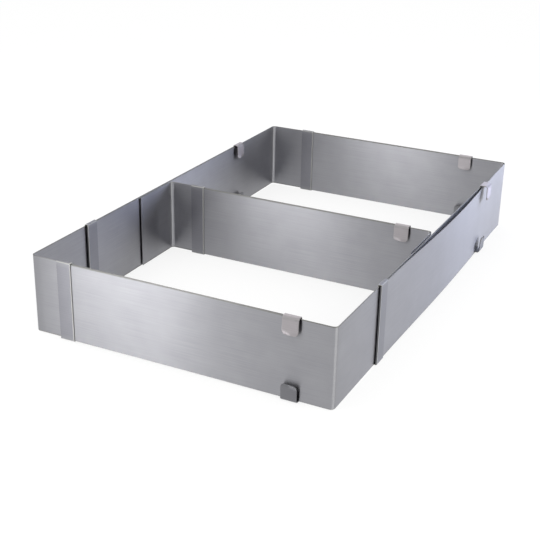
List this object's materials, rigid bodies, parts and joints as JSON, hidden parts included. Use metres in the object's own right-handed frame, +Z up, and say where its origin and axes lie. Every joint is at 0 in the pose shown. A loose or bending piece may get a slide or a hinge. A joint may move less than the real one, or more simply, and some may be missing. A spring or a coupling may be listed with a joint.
{
  "type": "baking frame",
  "caption": "Adjustable rectangular baking frame of brushed steel sheet, with telescoping walls held by guide straps and hooks, and a sliding divider.",
  "frame": {"origin": "under the middle of the frame's box, on the surface that the straps rest on", "axes": "+X along the width to the right, +Y along the length to the back, +Z up"},
  "size_m": [0.2028, 0.3248, 0.0515],
  "materials": {
    "sheet_steel": "fine brushed grain along the walls",
    "strap_steel": "fine brushed grain, pressed",
    "hook_steel": "smooth, pressed"
  },
  "bodies": {
    "front_left_corner": {"sheet_front_left": "sheet_steel", "hook_front_top": "hook_steel", "hook_front_bottom": "hook_steel", "hook_left_top": "hook_steel", "hook_left_bottom": "hook_steel"},
    "front_right_corner": {"sheet_front_right": "sheet_steel", "strap_front": "strap_steel", "hook_right_top": "hook_steel", "hook_right_bottom": "hook_steel"},
    "back_right_corner": {"sheet_back_right": "sheet_steel", "strap_right": "strap_steel", "strap_back": "strap_steel"},
    "back_left_corner": {"sheet_back_left": "sheet_steel", "strap_left": "strap_steel", "hook_back_top": "hook_steel", "hook_back_bottom": "hook_steel"},
    "divider_left_half": {"sheet_divider_left": "sheet_steel", "hook_divider_top": "hook_steel", "hook_divider_bottom": "hook_steel"},
    "divider_right_half": {"sheet_divider_right": "sheet_steel", "strap_divider": "strap_steel"}
  },
  "joints": [
    {"name": "width_slide", "type": "slide", "parent": "front_left_corner", "child": "front_right_corner", "axis": [1, 0, 0], "range_m": [-0.012, 0.122]},
    {"name": "length_slide", "type": "slide", "parent": "front_left_corner", "child": "back_left_corner", "axis": [0, 1, 0], "range_m": [-0.045, 0.183]},
    {"name": "right_length_slide", "type": "slide", "parent": "front_right_corner", "child": "back_right_corner", "axis": [0, 1, 0], "range_m": [-0.045, 0.183]},
    {"name": "divider_slide", "type": "slide", "parent": "front_left_corner", "child": "divider_left_half", "axis": [0, 1, 0], "range_m": [-0.108, 0.088]},
    {"name": "divider_width_slide", "type": "slide", "parent": "divider_left_half", "child": "divider_right_half", "axis": [1, 0, 0], "range_m": [-0.012, 0.122]}
  ],
  "couplings": [
    {"joint": "right_length_slide", "follows": "length_slide", "ratio": 1},
    {"joint": "divider_width_slide", "follows": "width_slide", "ratio": 1}
  ]
}
